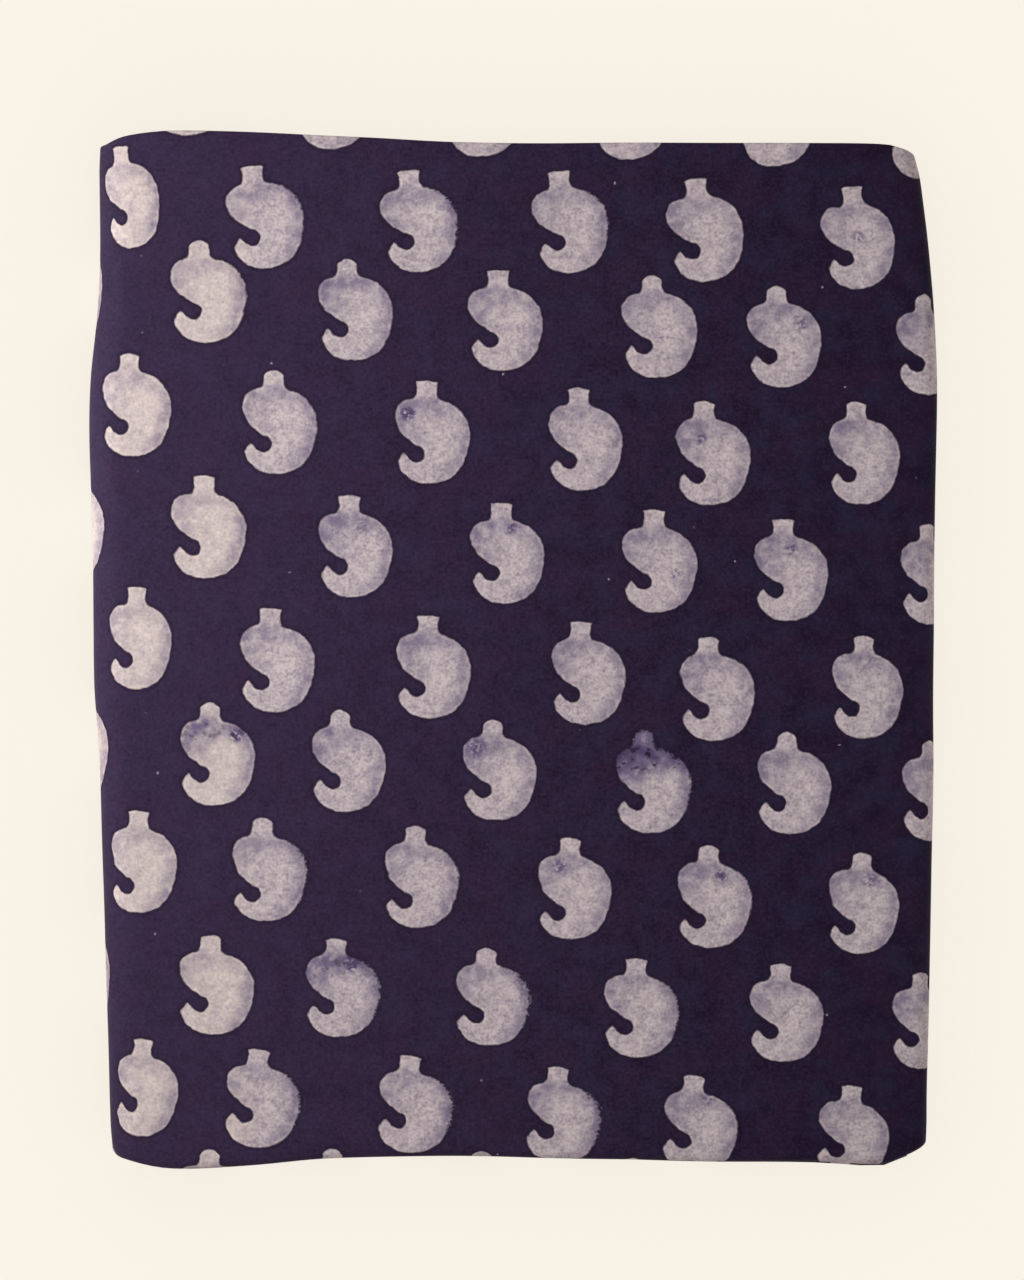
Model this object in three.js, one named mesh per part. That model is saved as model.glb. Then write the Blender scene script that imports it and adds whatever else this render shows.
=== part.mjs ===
import * as THREE from "three";

// A cut of block-printed cotton, folded in half and in half again both ways.
// X runs across the folded width, Y along its length and Z up. The origin is on
// the surface that the cloth lies on, under the middle of the folded bundle.

// Cloth. The sheet stands for the cotton with the air that lies against it.
const CLOTH_THICKNESS = 1.0;
const GAP_BETWEEN_PLIES = 0.3;
const PLY_PITCH = CLOTH_THICKNESS + GAP_BETWEEN_PLIES;
const PLIES_IN_PANEL = 4;
const GAP_BETWEEN_PANELS = 0.7;
const PANEL_PITCH = PLIES_IN_PANEL * PLY_PITCH + GAP_BETWEEN_PANELS - GAP_BETWEEN_PLIES;

// Folded bundle before it is made uneven
const HALF_WIDTH = 140;
const HALF_LENGTH = 170;

// How far each turn's centreline lies from the middle of what it wraps, in pitches
const OUTER_TURN = 1.5;
const INNER_TURN = 0.5;

// How far the inner turns and the cut edges stay behind the outer folds
const PLY_SETBACK = { innerTurn: 2.4, firstEdge: 1.6, lastEdge: 4.2 };
const PANEL_SETBACK = { innerTurn: 3.0, firstEdge: 3.5, lastEdge: 6.5 };

// Sideways slip of the folded strip of plies, towards the back, where each panel
// starts or ends: panels folded by hand never lie exactly over one another
const PANEL_SLIP = [
  { place: "first edge", y: -1.3 },
  { place: "outer left fold", y: -0.2 },
  { place: "right fold", y: 0.3 },
  { place: "inner left fold", y: 0.9 },
  { place: "last edge", y: -0.8 },
];

// Cut and selvedge edges wander in and out by this much
const EDGE_WANDER = { depth: 0.9, length: 170 };

// Facets along each kind of turn
const PLY_FACETS = { outer: 5, far: 4, inner: 4 };
const PANEL_FACETS = { outer: 8, far: 5, inner: 4 };

// Places where every ply, and every panel, has a row of points
const STATIONS_ALONG = [-161, -118, -72, -22, 28, 68, 97, 120, 161];
const STATIONS_ACROSS = [-120, -92, -40, 20, 78, 120];

// Outline of the folded bundle seen from above, one row for each place where it bends
const LEFT_FOLD = [
  { y: -167, x: -133.6 },
  { y: -115, x: -134.9 },
  { y: -76, x: -136.5 },
  { y: -20, x: -139.2 },
  { y: 27, x: -140.7 },
  { y: 60, x: -141.3 },
  { y: 97, x: -140.2 },
  { y: 120, x: -137.4 },
  { y: 165, x: -137.5 },
];
const RIGHT_FOLD = [
  { y: -166, x: 136.4 },
  { y: -141, x: 137.5 },
  { y: -96, x: 138.8 },
  { y: -40, x: 139.8 },
  { y: 46, x: 140.4 },
  { y: 85, x: 141.2 },
  { y: 112, x: 140.2 },
  { y: 132, x: 138.5 },
  { y: 146, x: 136.8 },
  { y: 165, x: 133.6 },
];
const FRONT_FOLD = [
  { x: -135, y: -167.4 },
  { x: -126, y: -170.4 },
  { x: -114, y: -173.3 },
  { x: -83, y: -171.4 },
  { x: -42, y: -168.5 },
  { x: 15, y: -169.5 },
  { x: 60, y: -170.6 },
  { x: 102, y: -171.2 },
  { x: 123, y: -172.0 },
  { x: 131, y: -168.9 },
  { x: 137, y: -165.9 },
];
const BACK_FOLD = [
  { x: -137, y: 167.0 },
  { x: -128, y: 171.0 },
  { x: -117, y: 172.8 },
  { x: -95, y: 172.4 },
  { x: -50, y: 170.5 },
  { x: -20, y: 169.0 },
  { x: 50, y: 168.6 },
  { x: 100, y: 168.3 },
  { x: 124, y: 167.6 },
  { x: 134, y: 163.8 },
];

// Each corner of the bundle is blunted by this much, over this reach
const CORNER = { blunt: 1.2, across: 20, along: 9 };

// Height against the even bundle: the springy folds stand full, the middle lies
// lower, the corners are lowest, and two long slow waves cross the cloth
const MIDDLE_SINK = 0.07;
const CORNER_SINK = { depth: 0.12, across: 38, along: 38 };
const WAVES = [
  { depth: 0.012, length: 260, turn: 0.5, start: 0.8 },
  { depth: 0.01, length: 190, turn: -1.0, start: 2.1 },
];

const COLOUR = 0x3b2f47;

// Value at one place of a curve through a table's rows, smooth at every row
function alongTable(rows, at, value, place) {
  const last = rows.length - 1;
  let i = 0;
  while (i < last - 1 && place > rows[i + 1][at]) i++;
  const slope = (a, b) => (rows[b][value] - rows[a][value]) / (rows[b][at] - rows[a][at]);
  const slopeAt = (j) => slope(Math.max(j - 1, 0), Math.min(j + 1, last));
  const span = rows[i + 1][at] - rows[i][at];
  const t = THREE.MathUtils.clamp((place - rows[i][at]) / span, 0, 1);
  const t2 = t * t;
  const t3 = t2 * t;
  return (
    (2 * t3 - 3 * t2 + 1) * rows[i][value] +
    (t3 - 2 * t2 + t) * span * slopeAt(i) +
    (3 * t2 - 2 * t3) * rows[i + 1][value] +
    (t3 - t2) * span * slopeAt(i + 1)
  );
}

// How far into a corner a point lies: 0 outside the corner's reach, 1 at its tip
function inCorner(x, y, reach) {
  const across = Math.max(0, 1 + (Math.abs(x) - HALF_WIDTH) / reach.across);
  const along = Math.max(0, 1 + (Math.abs(y) - HALF_LENGTH) / reach.along);
  return across * along;
}

// Share of the even bundle's height at one place
function heightShare(x, y) {
  const u = x / HALF_WIDTH;
  const v = y / HALF_LENGTH;
  let share = 1 - MIDDLE_SINK * (1 - u * u) * (1 - v * v);
  share -= CORNER_SINK.depth * inCorner(x, y, CORNER_SINK) ** 2;
  for (const wave of WAVES) {
    const along = x * Math.cos(wave.turn) + y * Math.sin(wave.turn);
    share += wave.depth * Math.sin((2 * Math.PI * along) / wave.length + wave.start);
  }
  return share;
}

// Moves a point of the even bundle to where it lies in the uneven one
function settle({ x, y, z }) {
  const u = (x / HALF_WIDTH + 1) / 2;
  const v = (y / HALF_LENGTH + 1) / 2;
  const left = alongTable(LEFT_FOLD, "y", "x", y);
  const right = alongTable(RIGHT_FOLD, "y", "x", y);
  const front = alongTable(FRONT_FOLD, "x", "y", x);
  const back = alongTable(BACK_FOLD, "x", "y", x);
  const drawnIn = CORNER.blunt * inCorner(x, y, CORNER);
  return new THREE.Vector3(
    THREE.MathUtils.lerp(left, right, u) - Math.sign(x) * drawnIn,
    THREE.MathUtils.lerp(front, back, v) - Math.sign(y) * drawnIn,
    z * heightShare(x, y),
  );
}

// Points and outward normals of a strip folded in half and in half again, in a
// plane: s runs from the near fold to the far one, and h is the height about the
// middle. The strip starts at its lowest layer's far edge, goes round the near
// outer turn to the top layer, back at the far turn, round the inner near turn,
// and ends at the far edge of the third layer. free is 1 at its two edges, run is
// the length along it, and stage counts its turns: 0 to 4 from edge to edge.
function foldedStrip({ half, pitch, skin, setback, facets, stations }) {
  const outer = OUTER_TURN * pitch;
  const inner = INNER_TURN * pitch;
  const nearCentre = -half + outer + skin;
  const farCentre = half - inner - skin;
  const points = [];
  const add = (s, h, ns, nh, stage, free = 0) => {
    const before = points.at(-1);
    const run = before ? before.run + Math.hypot(s - before.s, h - before.h) : 0;
    points.push({ s, h, ns, nh, stage, free, run });
  };
  const layer = (h, from, to, side, stage) => {
    const between = stations.filter((s) => s > Math.min(from, to) && s < Math.max(from, to));
    if (from > to) between.reverse();
    for (const s of between) add(s, h, 0, side, stage + (s - from) / (to - from));
  };
  const turn = (centre, radius, height, start, sweep, steps, side, stage) => {
    for (let i = 0; i <= steps; i++) {
      const angle = start + (sweep * i) / steps;
      const [c, d] = [Math.cos(angle), Math.sin(angle)];
      add(centre + radius * c, height + radius * d, side * c, side * d, stage);
    }
  };
  const firstEdge = half - setback.firstEdge;
  const lastEdge = half - setback.lastEdge;
  const innerCentre = nearCentre + setback.innerTurn;

  const quarter = Math.PI / 2;

  add(firstEdge, -outer, 0, -1, 0, 1);
  layer(-outer, firstEdge, nearCentre, -1, 0);
  turn(nearCentre, outer, 0, -quarter, -2 * quarter, facets.outer, 1, 1);
  layer(outer, nearCentre, farCentre, 1, 1);
  turn(farCentre, inner, 2 * inner, quarter, -2 * quarter, facets.far, 1, 2);
  layer(inner, farCentre, innerCentre, -1, 2);
  turn(innerCentre, inner, 0, quarter, 2 * quarter, facets.inner, -1, 3);
  layer(-inner, innerCentre, lastEdge, 1, 3);
  add(lastEdge, -inner, 0, 1, 4, 1);
  return points;
}

// The four plies of one panel, in the plane across the front and back folds
const plies = foldedStrip({
  half: HALF_LENGTH,
  pitch: PLY_PITCH,
  skin: CLOTH_THICKNESS / 2,
  setback: PLY_SETBACK,
  facets: PLY_FACETS,
  stations: STATIONS_ALONG,
});

// The four panels, in the plane across the left and right folds
const panels = foldedStrip({
  half: HALF_WIDTH,
  pitch: PANEL_PITCH,
  skin: OUTER_TURN * PLY_PITCH + CLOTH_THICKNESS / 2,
  setback: PANEL_SETBACK,
  facets: PANEL_FACETS,
  stations: STATIONS_ACROSS,
});

// The middle of the bundle's height, which puts the lowest ply on the surface
const MIDDLE_HEIGHT = OUTER_TURN * (PANEL_PITCH + PLY_PITCH) + CLOTH_THICKNESS / 2;

// How far a free edge wanders at this length along it
function wander(run) {
  return EDGE_WANDER.depth * Math.sin((2 * Math.PI * run) / EDGE_WANDER.length);
}

// How far the plies have slipped sideways at this stage of the panels' folds
function slip(stage) {
  const row = Math.min(Math.floor(stage), PANEL_SLIP.length - 2);
  return THREE.MathUtils.lerp(PANEL_SLIP[row].y, PANEL_SLIP[row + 1].y, stage - row);
}

// One point of the cloth: side is 1 on its printed face and -1 on its back
function clothPoint(ply, panel, side) {
  const skin = (side * CLOTH_THICKNESS) / 2;
  const out = ply.h + skin * ply.nh;
  return settle({
    x: panel.s + out * panel.ns + panel.free * wander(ply.run),
    y: ply.s + skin * ply.ns + ply.free * wander(panel.run) + slip(panel.stage),
    z: MIDDLE_HEIGHT + panel.h + out * panel.nh,
  });
}

// The whole cloth as one closed sheet: its two faces, joined along its four edges
function foldedCloth() {
  const positions = [];
  for (const side of [1, -1]) {
    for (const panel of panels) {
      for (const ply of plies) positions.push(...clothPoint(ply, panel, side).toArray());
    }
  }
  const across = panels.length;
  const along = plies.length;
  const face = (k, i) => k * along + i;
  const reverse = (k, i) => across * along + k * along + i;
  const index = [];
  const quad = (a, b, c, d) => index.push(a, b, c, a, c, d);
  // Facets that lie over one another are split along the same diagonal, so that
  // plies stay parallel where the bundle twists
  const heading = (strip, j) => Math.sign(strip[j + 1].s - strip[j].s);
  for (let k = 0; k < across - 1; k++) {
    for (let i = 0; i < along - 1; i++) {
      const around = [[k, i], [k + 1, i], [k + 1, i + 1], [k, i + 1]];
      if (heading(panels, k) * heading(plies, i) < 0) around.push(around.shift());
      const [a, b, c, d] = around;
      quad(face(...a), face(...b), face(...c), face(...d));
      quad(reverse(...a), reverse(...d), reverse(...c), reverse(...b));
    }
  }
  const [lastK, lastI] = [across - 1, along - 1];
  for (let k = 0; k < lastK; k++) {
    quad(face(k + 1, 0), face(k, 0), reverse(k, 0), reverse(k + 1, 0));
    quad(face(k, lastI), face(k + 1, lastI), reverse(k + 1, lastI), reverse(k, lastI));
  }
  for (let i = 0; i < lastI; i++) {
    quad(face(0, i), face(0, i + 1), reverse(0, i + 1), reverse(0, i));
    quad(face(lastK, i + 1), face(lastK, i), reverse(lastK, i), reverse(lastK, i + 1));
  }
  const geometry = new THREE.BufferGeometry();
  geometry.setAttribute("position", new THREE.Float32BufferAttribute(positions, 3));
  geometry.setIndex(index);
  geometry.computeVertexNormals();
  return geometry;
}

const cottonMaterial = new THREE.MeshStandardMaterial({
  color: COLOUR,
  roughness: 0.9,
  metalness: 0,
});

const cloth = new THREE.Mesh(foldedCloth(), cottonMaterial);
cloth.name = "folded_cloth";

const object = new THREE.Group();
object.add(cloth);

export default object;
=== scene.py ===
import math
import random

import bpy
import numpy as np
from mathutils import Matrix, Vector
from mathutils.kdtree import KDTree


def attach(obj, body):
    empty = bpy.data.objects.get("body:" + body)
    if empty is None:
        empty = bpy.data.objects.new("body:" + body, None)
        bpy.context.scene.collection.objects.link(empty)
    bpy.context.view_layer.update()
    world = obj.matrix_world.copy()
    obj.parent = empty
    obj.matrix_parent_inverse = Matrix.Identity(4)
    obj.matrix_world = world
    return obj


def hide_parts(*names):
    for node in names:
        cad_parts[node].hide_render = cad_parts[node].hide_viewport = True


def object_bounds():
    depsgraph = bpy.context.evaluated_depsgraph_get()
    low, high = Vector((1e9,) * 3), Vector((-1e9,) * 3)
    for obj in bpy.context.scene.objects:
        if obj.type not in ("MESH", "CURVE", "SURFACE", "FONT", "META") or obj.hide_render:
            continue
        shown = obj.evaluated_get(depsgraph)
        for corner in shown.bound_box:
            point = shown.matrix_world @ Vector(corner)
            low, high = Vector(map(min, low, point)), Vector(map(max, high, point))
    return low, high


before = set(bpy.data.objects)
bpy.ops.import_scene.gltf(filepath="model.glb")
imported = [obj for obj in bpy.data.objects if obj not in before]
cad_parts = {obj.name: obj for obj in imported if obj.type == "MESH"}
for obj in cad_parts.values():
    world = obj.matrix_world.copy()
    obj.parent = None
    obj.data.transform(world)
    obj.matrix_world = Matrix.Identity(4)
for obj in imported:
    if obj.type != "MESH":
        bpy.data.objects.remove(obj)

# A cut of block-printed cotton, folded in half and in half again both ways.
# Lengths are in millimetres until a mesh, a light or the camera is made from them.
CAD_BOX = [list(corner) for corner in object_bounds()]
MM = 0.001
SEED = 7

# The cloth, and the even bundle that it is folded into
CLOTH_THICKNESS = 0.7
PLY_PITCH = 1.3
PANEL_PITCH = 5.6
HALF_WIDTH = 140
HALF_LENGTH = 170

# The solid's sheet is thicker than the cloth that stands for it, so its lowest face
# lies lower
SOLID_THICKNESS = 1.0
SINK_TO_FLOOR = (SOLID_THICKNESS - CLOTH_THICKNESS) / 2

# How far each turn's centreline lies from the middle of what it wraps, in pitches
OUTER_TURN = 1.5
INNER_TURN = 0.5
PANEL_SKIN = OUTER_TURN * PLY_PITCH + SOLID_THICKNESS / 2
MIDDLE_HEIGHT = OUTER_TURN * (PANEL_PITCH + PLY_PITCH) + SOLID_THICKNESS / 2

# How far the inner turns and the cut edges stay behind the outer folds
PLY_SETBACK = {"inner turn": 2.4, "first edge": 1.6, "last edge": 4.2}
PANEL_SETBACK = {"inner turn": 3.0, "first edge": 3.5, "last edge": 6.5}

# Slip of the folded plies along the panels' folds, at each stage of those folds
PANEL_SLIP = [-0.3, -0.2, 0.3, 0.2, -0.8]

# How far the cut edges and selvedges wander from a straight line
EDGE_WANDER = {"depth": 0.9, "length": 170}

# Distance between points on the layers, lowest first, and facets round the turns
PLY_SPACING = {"lowest": 12, "top": 3.8, "third": 12, "fourth": 12}
PANEL_SPACING = {"lowest": 4.6, "top": 3.6, "third": 8, "fourth": 8}
PLY_FACETS = {"outer": 10, "far": 8, "inner": 6}
PANEL_FACETS = {"outer": 14, "far": 9, "inner": 7}

# Outline of the bundle from above: rows of place along the fold, and where the fold is
LEFT_FOLD = [
    (-168, -134.6), (-117, -136.1), (-78, -137.3), (-35, -138.7), (-10, -140.5), (33, -141.0),
    (66, -142.0), (90, -141.6), (110, -139.6), (128, -138.5), (152, -138.4), (167, -138.6),
]
RIGHT_FOLD = [
    (-167, 138.2), (-141, 138.4), (-96, 139.4), (-40, 140.3), (46, 141.0), (85, 141.7),
    (112, 140.7), (132, 138.9), (146, 137.3), (158, 135.8), (165, 134.4),
]
FRONT_FOLD = [
    (-136, -169.0), (-130, -170.8), (-114, -173.6), (-88, -172.6), (-62, -170.2), (-30, -169.5),
    (15, -170.3), (60, -171.1), (102, -171.6), (123, -172.3), (130, -170.1), (137, -167.2),
]
BACK_FOLD = [
    (-137, 168.7), (-132, 170.8), (-127, 171.9), (-117, 173.0), (-95, 172.8), (-50, 170.7),
    (-20, 169.0), (50, 168.7), (100, 168.4), (125, 168.0), (131, 166.6), (134, 165.4),
]
SETTLING_ROUNDS = 4

# How far a corner's tip is drawn in, and how far from it that starts
CORNER = {"blunt": 0.4, "across": 12, "along": 9}

# Height of the bundle against that of the even one
MIDDLE_SINK = 0.07
CORNER_SINK = {"depth": 0.12, "across": 38, "along": 38}
WAVES = [
    {"depth": 0.012, "length": 260, "turn": 0.5, "start": 0.8},
    {"depth": 0.010, "length": 190, "turn": -1.0, "start": 2.1},
]

# Soft creases pressed into the whole bundle: two ends, half width, and depth against
# the height. Past its ends a crease fades more slowly than to its sides.
CREASES = [
    {"ends": [(106, -2), (124, 10)], "width": 4.5, "depth": 0.016},
    {"ends": [(42, 103), (66, 100)], "width": 3.5, "depth": 0.010},
    {"ends": [(84, -127), (100, -112)], "width": 4.0, "depth": 0.012},
    {"ends": [(-120, 96), (-70, 70)], "width": 9, "depth": 0.012},
    {"ends": [(-30, -160), (40, -138)], "width": 10, "depth": 0.012},
    {"ends": [(128, -160), (96, -140)], "width": 8, "depth": 0.016},
    {"ends": [(-128, 160), (-100, 140)], "width": 8, "depth": 0.014},
]
CREASE_TAPER = 2

# Uneven surfaces, each a sum of waves: of the bundle's height, and of the cloth's faces
# in millimetres. The sum seldom gets past its crest, times the root of the waves.
UNDULATION = {"depth": 0.012, "shortest": 45, "longest": 120, "waves": 9}
RIPPLE = {"depth": 0.2, "shortest": 38, "longest": 110, "waves": 9}
CREST = 1.5


def along_table(rows, place):
    """Values at places of a curve through a table's rows, smooth at every row."""
    at, value = np.array(rows, float).T
    last = len(rows) - 1
    before = np.maximum(np.arange(last + 1) - 1, 0)
    after = np.minimum(np.arange(last + 1) + 1, last)
    slope = (value[after] - value[before]) / (at[after] - at[before])
    i = np.clip(np.searchsorted(at, place, side="left") - 1, 0, last - 1)
    span = at[i + 1] - at[i]
    t = np.clip((place - at[i]) / span, 0, 1)
    t2 = t * t
    t3 = t2 * t
    return (
        (2 * t3 - 3 * t2 + 1) * value[i]
        + (t3 - 2 * t2 + t) * span * slope[i]
        + (3 * t2 - 2 * t3) * value[i + 1]
        + (t3 - t2) * span * slope[i + 1]
    )


def in_corner(x, y, reach):
    """How far into a corner a point lies: 0 outside the corner's reach, 1 at its tip."""
    across = np.maximum(0, 1 + (np.abs(x) - HALF_WIDTH) / reach["across"])
    along = np.maximum(0, 1 + (np.abs(y) - HALF_LENGTH) / reach["along"])
    return across * along


def waves_from(setting, seed):
    """A smooth uneven surface: a function of two coordinates that stays within -1 to 1."""
    chance = random.Random(seed)
    waves = []
    for _ in range(setting["waves"]):
        length = chance.uniform(setting["shortest"], setting["longest"])
        turn = chance.uniform(0, math.pi)
        start = chance.uniform(0, 2 * math.pi)
        step = 2 * math.pi / length
        waves.append((step * math.cos(turn), step * math.sin(turn), start))

    def height(u, v):
        total = sum(np.sin(a * u + b * v + start) for a, b, start in waves)
        return np.clip(total / (CREST * math.sqrt(len(waves))), -1, 1)

    return height


undulation = waves_from(UNDULATION, SEED)
ripple = waves_from(RIPPLE, SEED + 1)


def crease_depth(x, y):
    """How deep the creases press at each place, against the bundle's height."""
    depth = np.zeros_like(x)
    for crease in CREASES:
        (x0, y0), (x1, y1) = crease["ends"]
        length = math.hypot(x1 - x0, y1 - y0)
        along = ((x - x0) * (x1 - x0) + (y - y0) * (y1 - y0)) / length
        aside = ((x - x0) * (y1 - y0) - (y - y0) * (x1 - x0)) / length
        past = np.maximum(0, np.abs(along - length / 2) - length / 2)
        reach = (aside**2 + (past / CREASE_TAPER) ** 2) / crease["width"] ** 2
        depth += crease["depth"] * np.exp(-reach)
    return depth


def height_share(x, y):
    """Share of the even bundle's height at one place."""
    u = x / HALF_WIDTH
    v = y / HALF_LENGTH
    share = 1 - MIDDLE_SINK * (1 - u * u) * (1 - v * v)
    share -= CORNER_SINK["depth"] * in_corner(x, y, CORNER_SINK) ** 2
    for wave in WAVES:
        along = x * math.cos(wave["turn"]) + y * math.sin(wave["turn"])
        share += wave["depth"] * np.sin(2 * math.pi * along / wave["length"] + wave["start"])
    share += UNDULATION["depth"] * undulation(x, y)
    return share - crease_depth(x, y)


def settle(x, y, z):
    """Moves points of the even bundle to where they lie in the uneven one."""
    u = (x / HALF_WIDTH + 1) / 2
    v = (y / HALF_LENGTH + 1) / 2
    settled_x, settled_y = x, y
    for _ in range(SETTLING_ROUNDS):
        left = along_table(LEFT_FOLD, settled_y)
        right = along_table(RIGHT_FOLD, settled_y)
        front = along_table(FRONT_FOLD, settled_x)
        back = along_table(BACK_FOLD, settled_x)
        settled_x = left + (right - left) * u
        settled_y = front + (back - front) * v
    drawn_in = CORNER["blunt"] * in_corner(x, y, CORNER)
    return (
        settled_x - np.sign(x) * drawn_in,
        settled_y - np.sign(y) * drawn_in,
        z * height_share(x, y),
    )


def folded_strip(half, pitch, skin, setback, spacing, facets):
    """Points of a strip folded in half and in half again, as arrays along it.

    s runs from the near fold to the far one, h is the height about the middle, and
    ns and nh are the printed face's normal. The strip starts at its lowest layer's far
    edge, goes round the near outer turn to the top layer, back at the far turn, round
    the inner near turn, and ends at the far edge of the third layer. free is 1 at its
    two edges, run is the length along it, stage counts its turns, and print is the
    length along the outside of the turns, which is s on the top layer.
    """
    outer = OUTER_TURN * pitch
    inner = INNER_TURN * pitch
    near_centre = -half + outer + skin
    far_centre = half - inner - skin
    inner_centre = near_centre + setback["inner turn"]
    first_edge = half - setback["first edge"]
    last_edge = half - setback["last edge"]
    points = []

    def add(s, h, ns, nh, stage, free=0.0, outside=0.0):
        before = points[-1] if points else None
        step = math.hypot(s - before["s"], h - before["h"]) if before else 0.0
        run = before["run"] + step if before else 0.0
        printed = before["print"] + step + outside if before else 0.0
        points.append(dict(
            s=s, h=h, ns=ns, nh=nh, stage=stage, free=free, run=run, print=printed,
        ))

    def layer(h, start, end, side, stage, gap):
        count = max(2, round(abs(end - start) / gap))
        for i in range(1, count):
            share = i / count
            add(start + (end - start) * share, h, 0, side, stage + share)

    def turn(centre, radius, height, start, sweep, count, side, stage, outside):
        for i in range(count + 1):
            angle = start + sweep * i / count
            c, d = math.cos(angle), math.sin(angle)
            extra = abs(sweep) / count * outside if i else 0.0
            add(centre + radius * c, height + radius * d, side * c, side * d, stage, 0.0, extra)

    quarter = math.pi / 2
    add(first_edge, -outer, 0, -1, 0, 1.0)
    layer(-outer, first_edge, near_centre, -1, 0, spacing["lowest"])
    turn(near_centre, outer, 0, -quarter, -2 * quarter, facets["outer"], 1, 1, skin)
    top_start = points[-1]
    layer(outer, near_centre, far_centre, 1, 1, spacing["top"])
    turn(far_centre, inner, 2 * inner, quarter, -2 * quarter, facets["far"], 1, 2, skin)
    layer(inner, far_centre, inner_centre, -1, 2, spacing["third"])
    turn(inner_centre, inner, 0, quarter, 2 * quarter, facets["inner"], -1, 3, 0.0)
    layer(-inner, inner_centre, last_edge, 1, 3, spacing["fourth"])
    add(last_edge, -inner, 0, 1, 4, 1.0)
    strip = {key: np.array([p[key] for p in points], float) for key in points[0]}
    strip["print"] += top_start["s"] - top_start["print"]
    return strip


PLIES = folded_strip(
    HALF_LENGTH, PLY_PITCH, SOLID_THICKNESS / 2, PLY_SETBACK, PLY_SPACING, PLY_FACETS
)
PANELS = folded_strip(
    HALF_WIDTH, PANEL_PITCH, PANEL_SKIN, PANEL_SETBACK, PANEL_SPACING, PANEL_FACETS
)


def wander(run):
    """How far a free edge wanders at this length along it."""
    return EDGE_WANDER["depth"] * np.sin(2 * math.pi * run / EDGE_WANDER["length"])


def cloth_points(side):
    """Settled points of one face, or of the middle where side is 0, and the ideal ones."""
    panel = {key: value[:, None] for key, value in PANELS.items()}
    ply = {key: value[None, :] for key, value in PLIES.items()}
    loose = RIPPLE["depth"] * ripple(panel["print"], ply["print"])
    skin = side * CLOTH_THICKNESS / 2 + (loose if side else 0)
    out = ply["h"] + skin * ply["nh"]
    slip = np.interp(panel["stage"], range(len(PANEL_SLIP)), PANEL_SLIP)
    x = panel["s"] + out * panel["ns"] + panel["free"] * wander(ply["run"])
    y = ply["s"] + skin * ply["ns"] + ply["free"] * wander(panel["run"]) + slip
    z = MIDDLE_HEIGHT + panel["h"] + out * panel["nh"]
    x, y = np.broadcast_arrays(x, y)
    return np.array(settle(x, y, z)), np.array([x, y])


def print_places():
    """Where each point of the grid lies on the flat cloth, as the top face shows it."""
    (x, y, _), (ideal_x, ideal_y) = cloth_points(0)
    slip = np.interp(PANELS["stage"], range(len(PANEL_SLIP)), PANEL_SLIP)[:, None]
    across = PANELS["print"][:, None] + x - ideal_x
    along = PLIES["print"][None, :] + y - (ideal_y - slip)
    return across, along


# The print, in millimetres on the flat cloth. A hand block carries six motifs, three in
# an upper row and three in a lower one, and no two are cut alike: width and height
# against the drawn motif.
CARVED = {
    "upper": [(1.0, 0.99), (1.0, 0.98), (1.015, 1.0)],
    "lower": [(1.01, 1.01), (1.01, 1.0), (1.0, 1.0)],
}

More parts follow.
